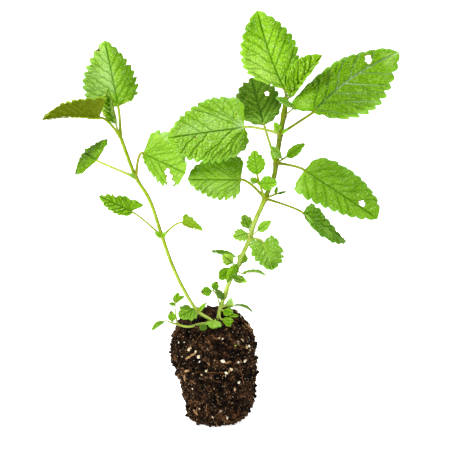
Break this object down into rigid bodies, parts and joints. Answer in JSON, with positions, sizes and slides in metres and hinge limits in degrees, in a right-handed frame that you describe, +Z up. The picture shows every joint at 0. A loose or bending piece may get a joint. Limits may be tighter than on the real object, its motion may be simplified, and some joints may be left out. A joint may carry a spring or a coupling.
{
  "type": "lemon balm plug plant",
  "caption": "Young lemon balm plant with a bare peat root ball, upright square stems, a short runner and toothed quilted leaves in opposite pairs.",
  "frame": {"origin": "centre of the flat spot that the root ball stands on", "axes": "+Z up along the plant, +X to the plant's right with the taller stem, -Y to its front"},
  "size_m": [0.2089, 0.0717, 0.2492],
  "materials": {
    "leaf_green": "satin",
    "leaf_pale": "satin",
    "leaf_deep": "satin",
    "stem_green": "satin",
    "peat": "matte"
  },
  "bodies": {
    "root": {"root_ball": "peat", "left_stem": "stem_green", "right_stem": "stem_green", "runner_stem": "stem_green", "left_crown_tall_leaf": "leaf_pale", "left_crown_drooping_leaf": "leaf_deep", "left_crown_young_leaf": "leaf_green", "left_first_left_leaf": "leaf_deep", "left_first_right_leaf": "leaf_pale", "left_second_left_leaf": "leaf_green", "left_second_right_leaf": "leaf_green", "left_collar_leaf": "leaf_green", "right_crown_tall_leaf": "leaf_pale", "right_crown_folded_leaf": "leaf_green", "right_crown_small_leaf": "leaf_green", "right_fifth_right_leaf": "leaf_green", "right_fifth_left_leaf": "leaf_pale", "right_fourth_back_leaf": "leaf_deep", "right_fourth_right_leaf": "leaf_green", "right_fourth_small_right_leaf": "leaf_deep", "right_fourth_small_left_leaf": "leaf_pale", "right_third_left_leaf": "leaf_green", "right_third_right_leaf": "leaf_deep", "right_second_left_leaf": "leaf_green", "right_second_back_leaf": "leaf_pale", "right_second_small_leaf": "leaf_pale", "right_second_right_leaf": "leaf_pale", "right_first_right_leaf": "leaf_green", "right_first_top_leaf": "leaf_green", "right_first_upper_leaf": "leaf_green", "right_first_left_leaf": "leaf_deep", "right_first_middle_leaf": "leaf_green", "right_first_lower_leaf": "leaf_green", "right_first_back_leaf": "leaf_deep", "foot_right_pale_leaf": "leaf_pale", "foot_right_arching_leaf": "leaf_deep", "foot_long_leaf": "leaf_deep", "soil_front_round_leaf": "leaf_pale", "soil_front_small_leaf": "leaf_deep", "runner_left_leaf": "leaf_green", "right_third_upright_shoot": "leaf_green", "right_third_twig": "leaf_green", "right_crown_bud": "leaf_green", "foot_left_shoot": "leaf_green", "soil_right_shoot": "leaf_green", "soil_front_right_shoot": "leaf_green", "runner_back_shoot": "leaf_green", "runner_middle_leaf": "leaf_green"}
  },
  "joints": []
}
